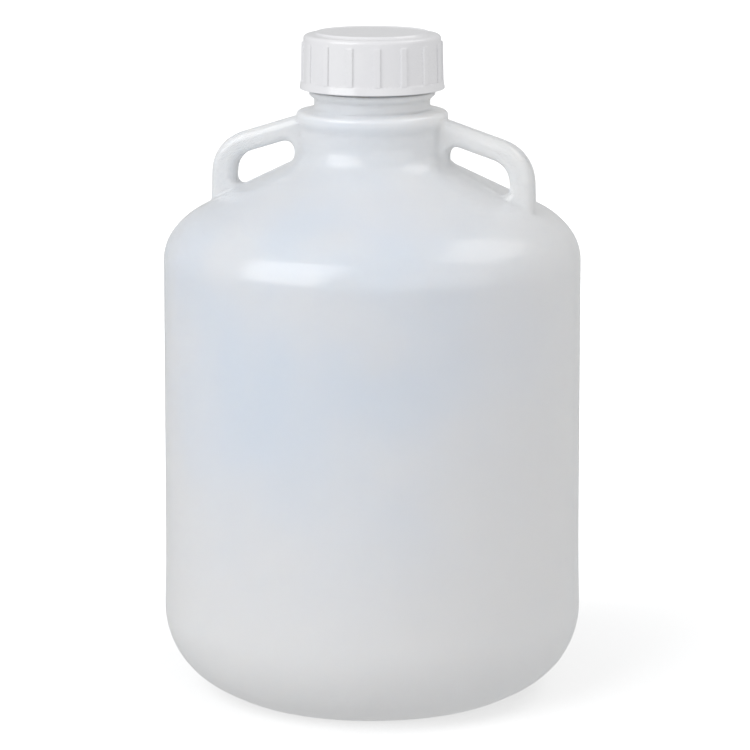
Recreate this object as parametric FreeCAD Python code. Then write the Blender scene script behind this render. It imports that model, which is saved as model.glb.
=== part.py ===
import FreeCAD, Part
import os
from math import asin, copysign, cos, pi, radians, sin, tan

# A round laboratory carboy with two moulded finger handles and a ribbed screw cap.
# Sizes are in millimetres and angles in degrees. +Z is up, the bottle's axis is the Z axis
# and the ring under the base stands on Z = 0. Both handles lie in the XZ plane, where the
# two halves of the mould met.

Vector = FreeCAD.Vector
ORIGIN = Vector(0, 0, 0)
ACROSS = Vector(0, 1, 0)
UP = Vector(0, 0, 1)

# Wall of the blow-moulded bottle
wall = 3.0

# Base: a flat ring to stand on, round a shallow push-up
base_ring_width = 13.0
base_push_up = 8.0
base_corner_radius = 24.2
base_corner_slope = 27.9
base_corner_length = 10.0
heel_radius = 57.0

# Side wall, which widens a little towards the heel
body_radius = 143.1
heel_lean = 1.9
wall_lean = 0.2
flare_radius = 1500.0
shoulder_height = 298.5

# Shoulder: two arcs that run into a cone, then a hollow curve up to the neck
shoulder_low_radius = 31.1
shoulder_low_turn = 34.8
shoulder_high_radius = 49.6
cone_slope = 26.1
neck_flare_radius = 20.0

# Neck and the collar round it
neck_radius = 48.5
neck_length = 10.0
neck_fillet = 6.0
collar_overhang = 2.8
collar_blend_height = 5.3
collar_blend_round = 4.0
collar_edge_height = 5.4
collar_edge_round = 3.2
collar_top_rise = 1.6
crease_fillet = 0.8
throat_drop = 2.6
throat_height = 7.4
throat_round = 4.0

# Neck finish above the collar: bead, thread and lip
finish_radius = 39.3
finish_wall = 3.2
bead_overhang = 3.4
bead_height = 2.5
bead_slope_height = 3.0
bead_above_collar = 9.8
bead_round = 0.9
lip_above_bead = 32.5
lip_round = 0.8
lip_bore_depth = 5.0

# Thread, right-handed with one start, on the neck and in the cap
thread_pitch = 6.0
thread_turns = 1.75
thread_below_lip = 19.0
neck_thread_depth = 2.2
neck_thread_root_width = 3.0
neck_thread_crest_width = 1.4
cap_thread_root_width = 2.6
cap_thread_crest_width = 1.2
thread_crest_clearance = 0.7
thread_drop = 2.3
thread_root_sink = 0.4

# Handles
handle_reach = 113.3
handle_width = 19.5
handle_top_rise = 2.1
handle_top_slope = 17.8
handle_bar_thickness = 14.1
handle_leg_thickness = 15.9
handle_leg_lean = 2.0
handle_bend_radius = 30.0
handle_rim_round = 6.0
handle_foot_fillet = 2.0
handle_root_depth = 12.0
hole_bend_radius = 15.5
hole_foot_radius = 4.5
hole_end_radius = 6.5
hole_end_gap = 5.1
hole_land = 1.0

# Gasket, a flat ring under the top of the cap
gasket_thickness = 2.2
gasket_bore_radius = 32.5
gasket_side_clearance = 0.3

# Cap
cap_bore_clearance = 1.1
cap_mouth_chamfer = 1.0
cap_foot_gap = 1.5
cap_wall = 3.7
cap_draft = 0.6
cap_band_overhang = 1.3
cap_band_flare = 0.9
cap_band_height = 5.5
cap_band_fillet = 0.3
cap_shoulder_round = 2.6
cap_ledge_thickness = 2.8
cap_ledge_rise = 0.8
cap_disc_radius = 37.8
cap_disc_rise = 1.3
cap_disc_chamfer = 1.2
cap_dish_depth = 0.4
cap_dish_margin = 1.5
cap_ceiling_recess = 1.8
cap_edge_round = 0.6

# Ribs round the cap
rib_count = 16
rib_width = 4.7
rib_height = 1.3
rib_below_ledge = 4.6
rib_round = 0.8
rib_root_sink = 1.5
rib_start_angle = -2.7

# Distance within which two places count as the same
touch = 0.001


def at(x, z):
    return Vector(x, 0, z)


def segment(start, end):
    return Part.LineSegment(start, end).toShape()


class Pen:
    """Draws tangent lines and arcs in the XZ plane, inset to the left of the path it follows."""

    def __init__(self, x, z, inset):
        self.x = x
        self.z = z
        self.heading = 0
        self.inset = inset
        self.edges = []

    def point(self):
        left = radians(self.heading + 90)
        return at(self.x + self.inset * cos(left), self.z + self.inset * sin(left))

    def line(self, length):
        start = self.point()
        self.x += length * cos(radians(self.heading))
        self.z += length * sin(radians(self.heading))
        self.edges.append(segment(start, self.point()))

    def bend(self, radius, turn):
        """Move along an arc: a positive turn goes left and a negative one goes right."""
        reach = copysign(radius, turn)
        left = radians(self.heading + 90)
        centre_x = self.x + reach * cos(left)
        centre_z = self.z + reach * sin(left)
        first_heading = self.heading
        points = [self.point()]
        for share in (0.5, 1.0):
            self.heading = first_heading + share * turn
            left = radians(self.heading + 90)
            self.x = centre_x - reach * cos(left)
            self.z = centre_z - reach * sin(left)
            points.append(self.point())
        self.edges.append(Part.Arc(*points).toBSpline().toShape())


def rounded(corners, closed=False):
    """Edges through corners (x, z, radius), each rounded as far as its two sides have room."""
    count = len(corners)
    points = [at(x, z) for x, z, radius in corners]
    sides = [points[(index + 1) % count] - points[index] for index in range(count)]
    half_angles = [(-sides[index - 1]).getAngle(sides[index]) / 2 for index in range(count)]
    tangents = [corners[index][2] / tan(half_angles[index]) if corners[index][2] else 0
                for index in range(count)]
    room = [side.Length / max(tangents[index] + tangents[(index + 1) % count], side.Length)
            for index, side in enumerate(sides)]
    arcs = []
    starts = []
    ends = []
    for index, point in enumerate(points):
        tangent = tangents[index] * min(room[index - 1], room[index])
        before = Vector(-sides[index - 1]).normalize()
        after = Vector(sides[index]).normalize()
        starts.append(point + before * tangent)
        ends.append(point + after * tangent)
        if tangent:
            middle = (before + after).normalize()
            depth = tangent * (1 / cos(half_angles[index]) - tan(half_angles[index]))
            arcs.append(Part.Arc(starts[index], point + middle * depth, ends[index]).toShape())
        else:
            arcs.append(None)
    edges = []
    for index in range(count):
        if arcs[index]:
            edges.append(arcs[index])
        following = (index + 1) % count
        gap = starts[following] - ends[index]
        if (closed or following) and gap.Length > touch:
            edges.append(segment(ends[index], starts[following]))
    return edges


def meet(line, other_line):
    """Where two lines in the XZ plane cross, each given as (x, z, angle)."""
    x, z, angle = line
    other_x, other_z, other_angle = other_line
    across = (other_x - x) * sin(radians(other_angle)) - (other_z - z) * cos(radians(other_angle))
    distance = across / sin(radians(other_angle - angle))
    return x + distance * cos(radians(angle)), z + distance * sin(radians(angle))


def moved_left(line, distance):
    x, z, angle = line
    left = radians(angle + 90)
    return x + distance * cos(left), z + distance * sin(left), angle


def turned(edges):
    """The solid made by turning a closed chain of edges about the Z axis."""
    return Part.Face(Part.Wire(edges)).revolve(ORIGIN, UP, 360)


def coil(radius, start_height, corners):
    """A helical ridge with a section of corners (radius, height) that starts towards +X."""
    helix = Part.makeHelix(thread_pitch, thread_pitch * thread_turns, radius)
    helix.translate(Vector(0, 0, start_height))
    points = [at(x, start_height + z) for x, z in corners]
    section = Part.makePolygon(points + points[:1])
    return Part.Wire(helix).makePipeShell([section], True, True)


def side(inset):
    """The bottle's side, drawn from the base ring up to the foot of the neck."""
    corner_run = (base_corner_radius * sin(radians(base_corner_slope))
                  + base_corner_length * cos(radians(base_corner_slope))
                  + heel_radius * (1 - sin(radians(base_corner_slope))))
    pen = Pen(body_radius - corner_run, 0, inset)
    pen.bend(base_corner_radius, base_corner_slope)
    pen.line(base_corner_length)
    pen.bend(heel_radius, 90 + heel_lean - pen.heading)
    pen.bend(flare_radius, wall_lean - heel_lean)
    pen.line((shoulder_height - pen.z) / sin(radians(pen.heading)))
    pen.bend(shoulder_low_radius, shoulder_low_turn)
    pen.bend(shoulder_high_radius, 180 - cone_slope - pen.heading)
    flare_turn = 90 - cone_slope
    flare_run = neck_flare_radius * (1 - cos(radians(flare_turn)))
    pen.line((pen.x - neck_radius - flare_run) / cos(radians(cone_slope)))
    cone_top = (pen.x, pen.z, pen.heading)
    pen.bend(neck_flare_radius, -flare_turn)
    return pen, cone_top


outer_side, cone_line = side(0)
inner_side = side(wall)[0]

# Radii and heights that follow from the sizes above
ring_outer_radius = outer_side.edges[0].Vertexes[0].X
ring_inner_radius = ring_outer_radius - base_ring_width
collar_radius = neck_radius + collar_overhang
collar_foot = outer_side.z + neck_length
collar_edge_foot = collar_foot + collar_blend_height
collar_edge_top = collar_edge_foot + collar_edge_height
collar_top = collar_edge_top + collar_top_rise
bore_radius = finish_radius - finish_wall
bead_radius = finish_radius + bead_overhang
bead_foot = collar_top + bead_above_collar
bead_top = bead_foot + bead_height
lip = bead_top + lip_above_bead
thread_start = lip - thread_below_lip
cap_seat = lip + gasket_thickness
cap_foot = bead_top + cap_foot_gap
cap_bore_radius = finish_radius + neck_thread_depth + cap_bore_clearance


def base_edges(inset):
    """The base from the axis to the start of its rounded corner, inset upwards."""
    dome_radius = (ring_inner_radius ** 2 + base_push_up ** 2) / (2 * base_push_up)
    centre_height = base_push_up - dome_radius
    radius = dome_radius + inset
    edge_angle = asin((inset - centre_height) / radius)
    middle_angle = (edge_angle + pi / 2) / 2
    crown = at(0, centre_height + radius)
    middle = at(radius * cos(middle_angle), centre_height + radius * sin(middle_angle))
    dome_edge = at(radius * cos(edge_angle), inset)
    ring = segment(dome_edge, at(ring_outer_radius, inset))
    return [Part.Arc(crown, middle, dome_edge).toShape(), ring]


def closed_turn(inset, side_pen, finish):
    """Turn the base, the side and the finish about the axis as one solid."""
    edges = base_edges(inset) + side_pen.edges + finish
    top = finish[-1].Vertexes[-1].Point
    bottom = edges[0].Vertexes[0].Point
    return turned(edges + [segment(top, bottom)])


def outer_body():
    """The bottle without its handles, solid inside up to just below the lip."""
    finish = rounded([
        (neck_radius, outer_side.z, 0),
        (neck_radius, collar_foot, neck_fillet),
        (collar_radius, collar_edge_foot, collar_blend_round),
        (collar_radius, collar_edge_top, collar_edge_round),
        (finish_radius, collar_top, crease_fillet),
        (finish_radius, bead_foot - bead_slope_height, bead_round),
        (bead_radius, bead_foot, bead_round),
        (bead_radius, bead_top, bead_round),
        (finish_radius, bead_top, bead_round),
        (finish_radius, lip, lip_round),
        (bore_radius, lip, lip_round),
        (bore_radius, lip - lip_bore_depth, 0),
        (0, lip - lip_bore_depth, 0),
    ])
    return closed_turn(0, outer_side, finish)


def cavity():
    """The hollow of the body and the neck, without the hollows of the handles."""
    throat_foot = collar_top - throat_drop - throat_height
    finish = rounded([
        (neck_radius - wall, outer_side.z, 0),
        (neck_radius - wall, throat_foot, throat_round),
        (bore_radius, throat_foot + throat_height, throat_round),
        (bore_radius, lip - lip_bore_depth, 0),
        (0, lip - lip_bore_depth, 0),
    ])
    return closed_turn(wall, inner_side, finish)


def neck_thread():
    crest = finish_radius + neck_thread_depth
    root = finish_radius - thread_root_sink
    return coil(finish_radius, thread_start, [
        (root, -neck_thread_root_width / 2),
        (crest, -neck_thread_crest_width / 2),
        (crest, neck_thread_crest_width / 2),
        (root, neck_thread_root_width / 2),
    ])


def handle(inset):
    """One handle towards +X with its finger hole, drawn inset inside its own surface."""
    top = (neck_radius, collar_edge_foot + handle_top_rise, 180 - handle_top_slope)
    under_bar = moved_left(top, handle_bar_thickness)
    foot_x, foot_z = meet((handle_reach, 0, 90), cone_line)
    leg = (foot_x, foot_z, 90 + handle_leg_lean)
    inside_leg = moved_left(leg, handle_leg_thickness)
    land = moved_left(cone_line, -hole_land)
    hole_end = (neck_radius + hole_end_gap, 0, 90)
    buried = moved_left(cone_line, handle_root_depth)
    root = (neck_radius - handle_root_depth, 0, 90)

    top = moved_left(top, inset)
    leg = moved_left(leg, inset)
    buried = moved_left(buried, -inset)
    root = moved_left(root, -inset)
    outline = rounded([
        (*meet(buried, leg), 0),
        (*meet(leg, top), handle_bend_radius - inset),
        (*meet(top, root), 0),
        (*meet(root, buried), 0),
    ], closed=True)

    under_bar = moved_left(under_bar, -inset)
    inside_leg = moved_left(inside_leg, -inset)
    land = moved_left(land, inset)
    hole_end = moved_left(hole_end, inset)
    hole = rounded([
        (*meet(land, inside_leg), hole_foot_radius + inset),
        (*meet(inside_leg, under_bar), hole_bend_radius + inset),
        (*meet(under_bar, hole_end), hole_end_radius + inset),
        (*meet(hole_end, land), hole_end_radius + inset),
    ], closed=True)

    half_width = handle_width / 2 - inset
    blank = prism(outline, half_width).cut(prism(hole, half_width))
    rims = [edge for edge in blank.Edges
            if abs(abs(edge.CenterOfMass.y) - half_width) < touch]
    return blank.makeFillet(handle_rim_round - inset, rims)


def prism(edges, half_width):
    face = Part.Face(Part.Wire(edges))
    face.translate(ACROSS * -half_width)
    return face.extrude(ACROSS * 2 * half_width)


def both_sides(shape):
    opposite = shape.copy()
    opposite.rotate(ORIGIN, UP, 180)
    return [shape, opposite]


def lies_on(shape, edge):
    middle = edge.valueAt((edge.FirstParameter + edge.LastParameter) / 2)
    return shape.Shells[0].distToShape(Part.Vertex(middle))[0] < touch


def make_bottle():
    body = outer_body()
    handles = both_sides(handle(0))
    outside = body.fuse(handles).removeSplitter()
    seams = [edge for edge in outside.Edges
             if lies_on(body, edge) and any(lies_on(grip, edge) for grip in handles)]
    outside = outside.makeFillet(handle_foot_fillet, seams).fuse(neck_thread())
    inside = cavity().fuse(both_sides(handle(wall)))
    return outside.cut(inside).removeSplitter()


def make_gasket():
    radius = cap_bore_radius - gasket_side_clearance
    ring = Part.makeCylinder(radius, gasket_thickness, at(0, lip))
    return ring.cut(Part.makeCylinder(gasket_bore_radius, gasket_thickness, at(0, lip)))


def make_rib(foot_radius, top_radius, foot, top):
    """One rib towards +X, leaning with the cap's side."""
    corners = [
        at(foot_radius - rib_root_sink, foot),
        at(foot_radius + rib_height, foot),
        at(top_radius + rib_height, top),
        at(top_radius - rib_root_sink, top),
    ]
    face = Part.Face(Part.makePolygon(corners + corners[:1]))
    face.translate(ACROSS * (-rib_width / 2))
    blank = face.extrude(ACROSS * rib_width)
    front = max(blank.Faces, key=lambda side_face: side_face.CenterOfMass.x)
    edges = [edge for edge in front.Edges if edge.CenterOfMass.z > foot + rib_round]
    return blank.makeFillet(rib_round, edges)


def make_cap():
    band_top = cap_foot + cap_band_height
    ledge = cap_seat + cap_ledge_thickness
    disc_foot = ledge + cap_ledge_rise
    disc_top = disc_foot + cap_disc_rise
    dish_radius = cap_disc_radius - cap_dish_margin
    top_radius = cap_bore_radius + cap_wall
    foot_radius = top_radius + cap_draft
    band_radius = foot_radius + cap_band_overhang
    ceiling = cap_seat + cap_ceiling_recess
    edges = rounded([
        (0, disc_top - cap_dish_depth, 0),
        (dish_radius - cap_dish_depth, disc_top - cap_dish_depth, cap_edge_round),
        (dish_radius, disc_top, cap_edge_round),
        (cap_disc_radius, disc_top, cap_edge_round),
        (cap_disc_radius + cap_disc_chamfer, disc_foot, cap_edge_round),
        (top_radius, ledge, cap_shoulder_round),
        (foot_radius, band_top, cap_band_fillet),
        (band_radius, band_top, cap_edge_round),
        (band_radius + cap_band_flare, cap_foot, cap_edge_round),
        (cap_bore_radius + cap_mouth_chamfer, cap_foot, cap_edge_round),
        (cap_bore_radius, cap_foot + cap_mouth_chamfer, 0),
        (cap_bore_radius, cap_seat, 0),
        (gasket_bore_radius, cap_seat, 0),
        (gasket_bore_radius, ceiling, cap_edge_round),
        (0, ceiling, 0),
    ], closed=True)
    shell = turned(edges)

    rib = make_rib(foot_radius, top_radius, band_top, ledge - rib_below_ledge)
    pieces = []
    for index in range(rib_count):
        copy = rib.copy()
        copy.rotate(ORIGIN, UP, rib_start_angle + index * 360 / rib_count)
        pieces.append(copy)

    crest = finish_radius + thread_crest_clearance
    root = cap_bore_radius + thread_root_sink
    pieces.append(coil(cap_bore_radius, thread_start - thread_drop, [
        (root, -cap_thread_root_width / 2),
        (crest, -cap_thread_crest_width / 2),
        (crest, cap_thread_crest_width / 2),
        (root, cap_thread_root_width / 2),
    ]))
    return shell.fuse(pieces).removeSplitter()


os.makedirs("parts", exist_ok=True)
for name, shape in (("bottle", make_bottle()), ("gasket", make_gasket()), ("cap", make_cap())):
    shape.exportStep("parts/" + name + ".step")
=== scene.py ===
from math import atan, cos, degrees, pi, radians, sin

import bmesh
import bpy
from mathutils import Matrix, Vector
from mathutils.bvhtree import BVHTree


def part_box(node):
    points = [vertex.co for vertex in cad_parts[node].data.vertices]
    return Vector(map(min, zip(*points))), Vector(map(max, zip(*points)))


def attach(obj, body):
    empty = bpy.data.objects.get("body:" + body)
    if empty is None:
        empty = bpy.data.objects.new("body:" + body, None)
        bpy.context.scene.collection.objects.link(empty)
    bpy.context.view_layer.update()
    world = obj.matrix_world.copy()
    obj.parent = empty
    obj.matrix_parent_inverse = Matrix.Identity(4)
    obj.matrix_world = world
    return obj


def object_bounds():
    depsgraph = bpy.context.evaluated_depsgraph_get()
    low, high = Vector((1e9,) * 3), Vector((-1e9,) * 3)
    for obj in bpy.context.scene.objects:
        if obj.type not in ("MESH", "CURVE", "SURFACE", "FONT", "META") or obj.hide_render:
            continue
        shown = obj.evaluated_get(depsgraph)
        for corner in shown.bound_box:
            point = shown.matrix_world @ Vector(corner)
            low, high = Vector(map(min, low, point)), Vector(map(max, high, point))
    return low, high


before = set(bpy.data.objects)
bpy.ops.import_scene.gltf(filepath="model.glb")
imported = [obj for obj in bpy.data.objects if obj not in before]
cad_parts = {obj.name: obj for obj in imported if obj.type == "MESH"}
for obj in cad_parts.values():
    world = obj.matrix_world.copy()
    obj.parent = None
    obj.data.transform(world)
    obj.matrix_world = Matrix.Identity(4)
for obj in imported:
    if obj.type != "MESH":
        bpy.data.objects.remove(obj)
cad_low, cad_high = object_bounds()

# The looks of a round laboratory carboy. Lengths are in metres and angles in degrees. The
# bottle's axis is the Z axis, it stands on Z = 0 and its handles lie in the XZ plane.

# Camera, as it stood for the photograph
CAMERA_AZIMUTH = 16.0
CAMERA_DISTANCE = 2.3996
CAMERA_HEIGHT = 0.7023
CAMERA_TILT = 11.43
FOCAL_PIXELS = 3576.6
IMAGE_PIXELS = 750
AXIS_PIXEL = 372.2
SENSOR_WIDTH = 36.0

# Softboxes: direction from the camera's azimuth, height angle, distance, size, brightness and colour
SOFTBOX_AIM = Vector((0, 0, 0.25))
SOFTBOXES = {
    "key_softbox": {"turn": -51, "rise": 31, "away": 6.0, "width": 5.2, "height": 5.4,
                    "radiance": 1.87, "colour": (0.97, 0.985, 1.0)},
    "rim_softbox": {"turn": 98, "rise": 52, "away": 6.0, "width": 4.4, "height": 2.8,
                    "radiance": 1.15, "colour": (1.0, 0.99, 0.97)},
    "front_softbox": {"turn": 30, "rise": 16, "away": 6.0, "width": 9.0, "height": 4.0,
                      "radiance": 0.42, "colour": (1.0, 0.995, 0.985)},
}
WORLD_COLOUR = (0.985, 0.99, 1.0)
WORLD_STRENGTH = 0.605

# Floor, which glows more away from the bottle, so that it stays white and keeps a soft shadow
FLOOR_SIZE = 200.0
FLOOR_COLOUR = (0.93, 0.93, 0.93)
FLOOR_ROUGHNESS = 0.9
FLOOR_SPECULAR = 0.1
FLOOR_GLOW_NEAR = 0.28
FLOOR_GLOW_FAR = 0.60
FLOOR_GLOW_FROM = 0.14
FLOOR_GLOW_TO = 0.70

# Noise: the values of it that are taken as the two ends of a shade, a gloss or a pattern
WIDE_NOISE = (0.30, 0.70)
MIDDLE_NOISE = (0.35, 0.65)
NARROW_NOISE = (0.40, 0.60)

# Bottle's tints: warm, with a cool patch of painted light on its front that clouds break up, and paler
# streaks
WARM_TINT = (0.862, 0.858, 0.845)
# The cool tint and the patch it fills are painted light: bluish light that falls through the front of
# the bottle, not a colour of the plastic
PAINTED_COOL_LIGHT_TINT = (0.735, 0.805, 0.915)
PAINTED_COOL_LIGHT_CENTRE = (-0.02, -0.14, 0.27)
PAINTED_COOL_LIGHT_CORE = 0.04
PAINTED_COOL_LIGHT_REACH = 0.24
CLOUD_SCALE = 9.0
CLOUD_NOISE = (0.35, 0.60)
CLOUD_LOWEST = 0.45
STREAK_TINT = (0.885, 0.885, 0.88)
STREAK_SCALE = 26.0
STREAK_STRETCH = (1, 1, 0.25)
STREAK_NOISE = (0.35, 0.75)
STREAK_HIGHEST = 0.35

# Bottle's surface: its gloss, the light that bleeds through it, and its waves and ripples
BOTTLE_SPECULAR = 1.0
BOTTLE_ROUGHNESS = (0.20, 0.26)
BOTTLE_ROUGHNESS_SCALE = 34.0
BOTTLE_BLEED = (1.0, 0.95, 0.9)
BOTTLE_BLEED_DEPTH = 0.005
WAVE_SCALE = 16.0
WAVE_DEPTH = 0.0014
RIPPLE_SCALE = 45.0
RIPPLE_DEPTH = 0.0002

# Parting line, cap and gasket: the two shades that each wanders between, and its surface
LINE_SHADES = ((0.77, 0.785, 0.80), (0.83, 0.835, 0.84))
LINE_SHADE_SCALE = 120.0
LINE_ROUGHNESS = 0.3
CAP_SHADES = ((0.85, 0.845, 0.86), (0.87, 0.865, 0.875))
CAP_SHADE_SCALE = 40.0
CAP_ROUGHNESS = (0.20, 0.26)
CAP_ROUGHNESS_SCALE = 90.0
CAP_COAT = 0.8
CAP_COAT_ROUGHNESS = 0.12
CAP_GRAIN_SCALE = 900.0
CAP_GRAIN_DEPTH = 0.00001
GASKET_SHADES = ((0.70, 0.70, 0.68), (0.74, 0.74, 0.72))
GASKET_SHADE_SCALE = 600.0
GASKET_ROUGHNESS = 0.7
GASKET_SPECULAR = 0.3
GASKET_GRAIN_SCALE = 1500.0
GASKET_GRAIN_DEPTH = 0.00002

# Edges sharper than this stay sharp in the shading
SMOOTH_ANGLE = 32

# Parting line, where the two halves of the bottle's mould met: its section, how low it starts,
# how far below the cap it ends, how far off the surface a place is tested for being outside,
# and how near two places count as one
LINE_HALF_WIDTH = 0.00050
LINE_TOP_HALF_WIDTH = 0.00015
LINE_HEIGHT = 0.00012
LINE_SINK = 0.00012
LINE_LOWEST = 0.004
LINE_BELOW_CAP = 0.0015
OUTSIDE_STEP = 0.0003
SAME_PLACE = 0.000001


def point_along(azimuth, elevation, distance):
    """A point at a distance from the origin, with azimuth 0 on the -Y side."""
    turn = radians(azimuth)
    rise = radians(elevation)
    return Vector((sin(turn) * cos(rise), -cos(turn) * cos(rise), sin(rise))) * distance


def add(name, data):
    """A new object in the scene."""
    made = bpy.data.objects.new(name, data)
    bpy.context.scene.collection.objects.link(made)
    return made


def make_camera():
    """The camera, turned aside so that the bottle's axis falls on its own column of pixels."""
    camera = add("camera", bpy.data.cameras.new("camera"))
    camera.data.sensor_width = SENSOR_WIDTH
    camera.data.lens = FOCAL_PIXELS / IMAGE_PIXELS * SENSOR_WIDTH
    camera.data.clip_end = 2 * FLOOR_SIZE
    camera.location = point_along(CAMERA_AZIMUTH, 0, CAMERA_DISTANCE)
    camera.location.z = CAMERA_HEIGHT
    aside = degrees(atan((IMAGE_PIXELS / 2 - AXIS_PIXEL) / FOCAL_PIXELS))
    camera.rotation_euler = (radians(90 - CAMERA_TILT), 0, radians(CAMERA_AZIMUTH - aside))
    bpy.context.scene.camera = camera


def make_softbox(name, turn, rise, away, width, height, radiance, colour):
    """A rectangular light of even brightness that faces the bottle."""
    lamp = bpy.data.lights.new(name, "AREA")
    lamp.shape = "RECTANGLE"
    lamp.size = width
    lamp.size_y = height
    lamp.color = colour
    lamp.energy = radiance * width * height * pi
    box = add(name, lamp)
    towards = point_along(CAMERA_AZIMUTH + turn, rise, away)
    box.location = SOFTBOX_AIM + towards
    box.rotation_euler = towards.to_track_quat("Z", "Y").to_euler()
    box.visible_camera = False


def make_surround():
    """An even pale surround, and how the picture shows its colours."""
    world = bpy.data.worlds.new("studio")
    world.use_nodes = True
    background = world.node_tree.nodes["Background"]
    background.inputs["Color"].default_value = (*WORLD_COLOUR, 1)
    background.inputs["Strength"].default_value = WORLD_STRENGTH
    scene = bpy.context.scene
    scene.world = world
    scene.view_settings.view_transform = "Standard"
    scene.cycles.denoising_input_passes = "RGB"


def make_floor():
    """A white floor, which neither lights the bottle nor shows in its gloss."""
    half = FLOOR_SIZE / 2
    mesh = bpy.data.meshes.new("floor")
    mesh.from_pydata([(-half, -half, 0), (half, -half, 0), (half, half, 0), (-half, half, 0)],
                     [], [(0, 1, 2, 3)])
    floor = add("floor", mesh)
    paper = Material("floor_paper", FLOOR_SPECULAR)
    paper.set("Base Color", (*FLOOR_COLOUR, 1))
    paper.set("Roughness", FLOOR_ROUGHNESS)
    paper.set("Emission Color", (1, 1, 1, 1))
    paper.drive("Emission Strength", paper.mapped(paper.distance((0, 0, 0)),
                                                  (FLOOR_GLOW_FROM, FLOOR_GLOW_TO),
                                                  (FLOOR_GLOW_NEAR, FLOOR_GLOW_FAR)))
    floor.data.materials.append(paper.material)
    floor.visible_diffuse = False
    floor.visible_glossy = False


class Material:
    """A node material around one Principled shader, with helpers for what drives it."""

    def __init__(self, name, specular=0.5):
        self.material = bpy.data.materials.new(name)
        self.material.use_nodes = True
        self.tree = self.material.node_tree
        self.shader = self.tree.nodes["Principled BSDF"]
        self.set("Specular IOR Level", specular)
        self.place = self.node("ShaderNodeTexCoord").outputs["Object"]

    def node(self, kind, **settings):
        """A new node with some of its settings."""
        made = self.tree.nodes.new(kind)
        for key, value in settings.items():
            setattr(made, key, value)
        return made

    def link(self, source, target):
        """Lead one socket into another."""
        self.tree.links.new(source, target)

    def set(self, name, value):
        """Give one of the shader's own sockets a value."""
        self.shader.inputs[name].default_value = value

    def drive(self, name, source):
        """Lead a socket into one of the shader's own."""
        self.link(source, self.shader.inputs[name])

    def noise(self, scale, detail=2.0, stretch=(1, 1, 1)):
        """Noise in the object's own coordinates, which are scaled along each axis."""
        mapping = self.node("ShaderNodeMapping")
        mapping.inputs["Scale"].default_value = stretch
        self.link(self.place, mapping.inputs["Vector"])
        made = self.node("ShaderNodeTexNoise")
        made.inputs["Scale"].default_value = scale
        made.inputs["Detail"].default_value = detail
        self.link(mapping.outputs["Vector"], made.inputs["Vector"])
        return made.outputs["Fac"]

    def mapped(self, value, ends, to_ends=(0.0, 1.0)):
        """A value that goes from one end to the other, led smoothly between two new ends."""
        made = self.node("ShaderNodeMapRange", interpolation_type="SMOOTHSTEP")
        for name, number in zip(("From Min", "From Max", "To Min", "To Max"), (*ends, *to_ends)):
            made.inputs[name].default_value = number
        self.link(value, made.inputs["Value"])
        return made.outputs["Result"]

    def times(self, first, second):
        """The product of two sockets."""
        made = self.node("ShaderNodeMath", operation="MULTIPLY")
        self.link(first, made.inputs[0])
        self.link(second, made.inputs[1])
        return made.outputs["Value"]

    def distance(self, centre):
        """How far a place on the object is from a point."""
        made = self.node("ShaderNodeVectorMath", operation="DISTANCE")
        self.link(self.place, made.inputs[0])
        made.inputs[1].default_value = centre
        return made.outputs["Value"]

    def mixed(self, factor, first, second):
        """A colour between two colours, each given as a triple or as a socket."""
        made = self.node("ShaderNodeMix", data_type="RGBA")
        self.link(factor, made.inputs["Factor"])
        for socket, colour in ((made.inputs["A"], first), (made.inputs["B"], second)):
            if isinstance(colour, tuple):
                socket.default_value = (*colour, 1)
            else:
                self.link(colour, socket)
        return made.outputs["Result"]

    def shaded(self, scale, ends, shades):
        """A base colour that wanders between two shades."""
        self.drive("Base Color", self.mixed(self.mapped(self.noise(scale), ends), *shades))

    def bumps(self, layers):
        """Bump from (height socket, depth in metres) layers, laid one on the other."""
        normal = None
        for height, depth in layers:
            made = self.node("ShaderNodeBump")
            made.inputs["Strength"].default_value = 1.0
            made.inputs["Distance"].default_value = depth
            self.link(height, made.inputs["Height"])
            if normal:
                self.link(normal, made.inputs["Normal"])
            normal = made.outputs["Normal"]
        self.drive("Normal", normal)


def bottle_plastic():
    """Milky polypropylene: soft gloss, light that bleeds through, faint paler streaks, and a faint
    cool tint of painted light on its front that clouds break up.
    """
    made = Material("bottle_polypropylene", BOTTLE_SPECULAR)
    clouds = made.mapped(made.noise(CLOUD_SCALE, detail=3.0), CLOUD_NOISE, (CLOUD_LOWEST, 1.0))
    # Painted light: a cool tint that fades out round a point on the bottle's front, standing in for
    # bluish light falling through the wall there
    painted_cool_light = made.mapped(made.distance(PAINTED_COOL_LIGHT_CENTRE), (PAINTED_COOL_LIGHT_CORE, PAINTED_COOL_LIGHT_REACH), (1.0, 0.0))
    warm_tint_and_painted_light = made.mixed(made.times(clouds, painted_cool_light), WARM_TINT, PAINTED_COOL_LIGHT_TINT)
    streaks = made.mapped(made.noise(STREAK_SCALE, detail=4.0, stretch=STREAK_STRETCH),
                          STREAK_NOISE, (0.0, STREAK_HIGHEST))
    made.drive("Base Color", made.mixed(streaks, warm_tint_and_painted_light, STREAK_TINT))
    made.drive("Roughness", made.mapped(made.noise(BOTTLE_ROUGHNESS_SCALE, detail=3.0),
                                        WIDE_NOISE, BOTTLE_ROUGHNESS))
    made.set("Subsurface Weight", 1.0)
    made.set("Subsurface Radius", BOTTLE_BLEED)
    made.set("Subsurface Scale", BOTTLE_BLEED_DEPTH)
    made.bumps([(made.noise(WAVE_SCALE, detail=1.0), WAVE_DEPTH),
                (made.noise(RIPPLE_SCALE, detail=1.0), RIPPLE_DEPTH)])
    return made.material


def line_plastic():
    """The bottle's plastic where it stands up as the fine parting line."""
    made = Material("parting_line_polypropylene")
    made.shaded(LINE_SHADE_SCALE, MIDDLE_NOISE, LINE_SHADES)
    made.set("Roughness", LINE_ROUGHNESS)
    return made.material


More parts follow.
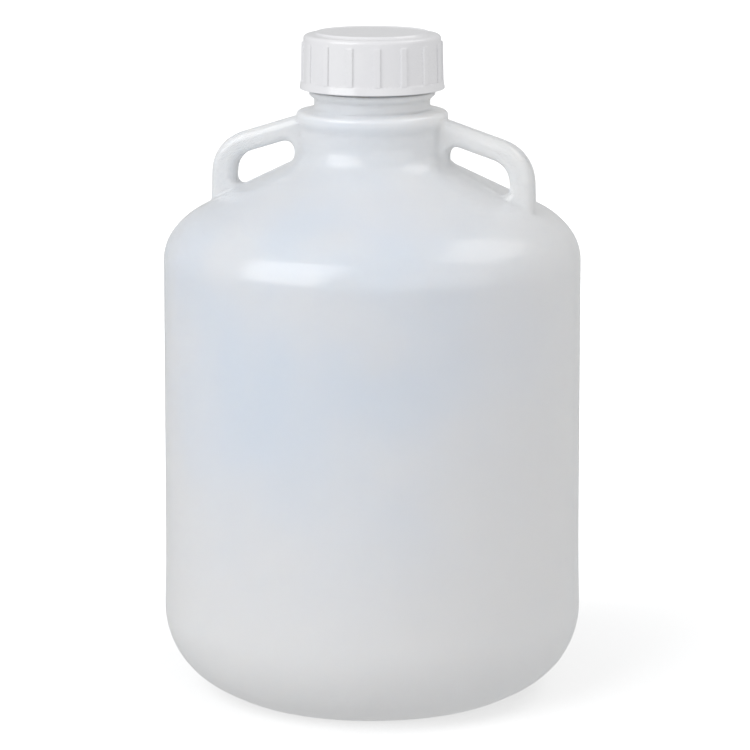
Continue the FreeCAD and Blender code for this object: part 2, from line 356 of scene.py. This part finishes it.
def cap_plastic():
    """Smooth moulded white plastic with a soft sheen."""
    made = Material("cap_white_plastic")
    made.shaded(CAP_SHADE_SCALE, MIDDLE_NOISE, CAP_SHADES)
    made.drive("Roughness", made.mapped(made.noise(CAP_ROUGHNESS_SCALE), WIDE_NOISE, CAP_ROUGHNESS))
    made.set("Coat Weight", CAP_COAT)
    made.set("Coat Roughness", CAP_COAT_ROUGHNESS)
    made.bumps([(made.noise(CAP_GRAIN_SCALE), CAP_GRAIN_DEPTH)])
    return made.material


def gasket_rubber():
    """Matt pale rubber with a fine grain."""
    made = Material("gasket_rubber", GASKET_SPECULAR)
    made.shaded(GASKET_SHADE_SCALE, NARROW_NOISE, GASKET_SHADES)
    made.set("Roughness", GASKET_ROUGHNESS)
    made.bumps([(made.noise(GASKET_GRAIN_SCALE), GASKET_GRAIN_DEPTH)])
    return made.material


def outline_links(cut):
    """What each place on the mesh's outer outline in the XZ plane is joined to, and its normal."""
    tree = BVHTree.FromBMesh(cut)
    found = bmesh.ops.bisect_plane(cut, geom=cut.verts[:] + cut.edges[:] + cut.faces[:],
                                   dist=SAME_PLACE, plane_co=(0, 0, 0), plane_no=(0, 1, 0))
    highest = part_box("cap")[0].z - LINE_BELOW_CAP
    neighbours = {}
    normals = {}
    for edge in found["geom_cut"]:
        if not isinstance(edge, bmesh.types.BMEdge) or len(edge.link_faces) != 2:
            continue
        normal = edge.link_faces[0].normal + edge.link_faces[1].normal
        normal.y = 0
        if normal.length < SAME_PLACE:
            continue
        normal.normalize()
        middle = (edge.verts[0].co + edge.verts[1].co) / 2
        outside = middle + normal * OUTSIDE_STEP
        hidden = tree.ray_cast(outside, Vector((0, 1, 0)))[0] is not None
        if hidden or not LINE_LOWEST < middle.z < highest:
            continue
        for vert, other in (edge.verts, reversed(edge.verts)):
            neighbours.setdefault(vert, []).append(other)
            normals[vert] = normals.get(vert, Vector()) + normal
    return neighbours, normals


def joined(neighbours):
    """The chains that joined places make, each with whether it closes on itself."""
    chains = []
    left = dict.fromkeys(neighbours)
    while left:
        start = next((vert for vert in left if len(neighbours[vert]) == 1), None) or next(iter(left))
        chain = [start]
        left.pop(start)
        while True:
            following = next((vert for vert in neighbours[chain[-1]] if vert in left), None)
            if following is None:
                break
            chain.append(following)
            left.pop(following)
        closed = len(chain) > 2 and chain[0] in neighbours[chain[-1]]
        chains.append((chain, closed))
    return chains


def outer_chains(bottle):
    """The bottle's outer outline in the XZ plane: chains of (point, outward normal), closed or not."""
    cut = bmesh.new()
    cut.from_mesh(bottle.data)
    bmesh.ops.remove_doubles(cut, verts=cut.verts[:], dist=SAME_PLACE)
    neighbours, normals = outline_links(cut)
    chains = []
    for chain, closed in joined(neighbours):
        chains.append(([(vert.co.copy(), normals[vert].normalized()) for vert in chain], closed))
    cut.free()
    return chains


def band_faces(first, rows, count, closed):
    """The faces of a swept band, whose rows of points start at a number and go round or end."""
    faces = []
    for row in range(rows if closed else rows - 1):
        here = first + row * count
        there = first + (row + 1) % rows * count
        for step in range(count):
            following = (step + 1) % count
            faces.append((here + step, here + following, there + following, there + step))
    if not closed:
        last = first + (rows - 1) * count
        faces.append(tuple(range(first, first + count)))
        faces.append(tuple(reversed(range(last, last + count))))
    return faces


def make_parting_line():
    """The fine raised line that the mould leaves round the bottle and its handles."""
    section = [(-LINE_HALF_WIDTH, -LINE_SINK), (-LINE_TOP_HALF_WIDTH, LINE_HEIGHT),
               (LINE_TOP_HALF_WIDTH, LINE_HEIGHT), (LINE_HALF_WIDTH, -LINE_SINK)]
    verts = []
    faces = []
    for chain, closed in outer_chains(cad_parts["bottle"]):
        faces += band_faces(len(verts), len(chain), len(section), closed)
        for point, normal in chain:
            for aside, up in section:
                spot = point + normal * up + Vector((0, aside, 0))
                spot.x = min(max(spot.x, cad_low[0]), cad_high[0])
                verts.append(spot)
    mesh = bpy.data.meshes.new("parting_line")
    mesh.from_pydata(verts, [], faces)
    line = add("parting_line", mesh)
    turned = bmesh.new()
    turned.from_mesh(mesh)
    bmesh.ops.recalc_face_normals(turned, faces=turned.faces[:])
    turned.to_mesh(mesh)
    turned.free()
    return line


def dress(piece, material):
    """Give a piece one material and smooth shading, apart from its sharp edges."""
    piece.data.materials.clear()
    piece.data.materials.append(material)
    piece.data.shade_smooth()
    piece.data.set_sharp_from_angle(angle=radians(SMOOTH_ANGLE))


make_camera()
make_surround()
for softbox, settings in SOFTBOXES.items():
    make_softbox(softbox, **settings)
make_floor()

dress(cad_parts["bottle"], bottle_plastic())
dress(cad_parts["cap"], cap_plastic())
dress(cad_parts["gasket"], gasket_rubber())

parting_line = make_parting_line()
dress(parting_line, line_plastic())
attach(parting_line, "bottle")
